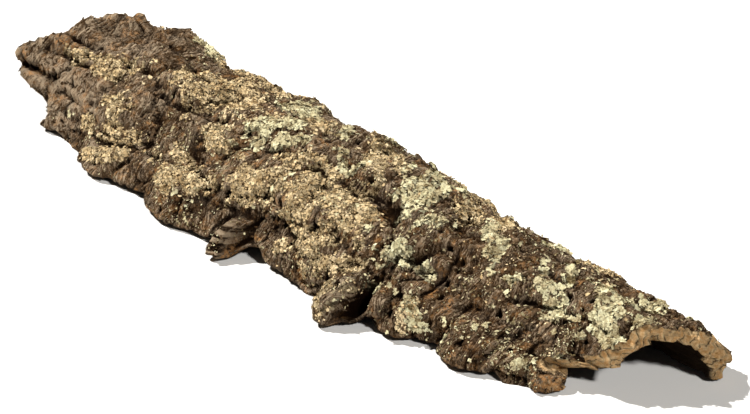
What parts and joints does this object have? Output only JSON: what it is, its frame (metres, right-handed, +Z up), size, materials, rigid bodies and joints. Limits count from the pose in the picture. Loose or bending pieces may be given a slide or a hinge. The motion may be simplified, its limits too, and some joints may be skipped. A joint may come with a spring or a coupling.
{
  "type": "piece of bark",
  "caption": "Arched slab of rough cork-oak bark, hollow underneath, lying on its long edges; natural hide, planter or display piece.",
  "frame": {"origin": "middle of the slab in plan, on the surface that it lies on", "axes": "+X along the slab towards the broken near end, -Y towards the front long edge, +Z up"},
  "size_m": [0.883, 0.2577, 0.0937],
  "materials": {
    "bark": "rough weathered cork bark, dry and matte"
  },
  "bodies": {
    "root": {"bark": "bark"}
  },
  "joints": []
}
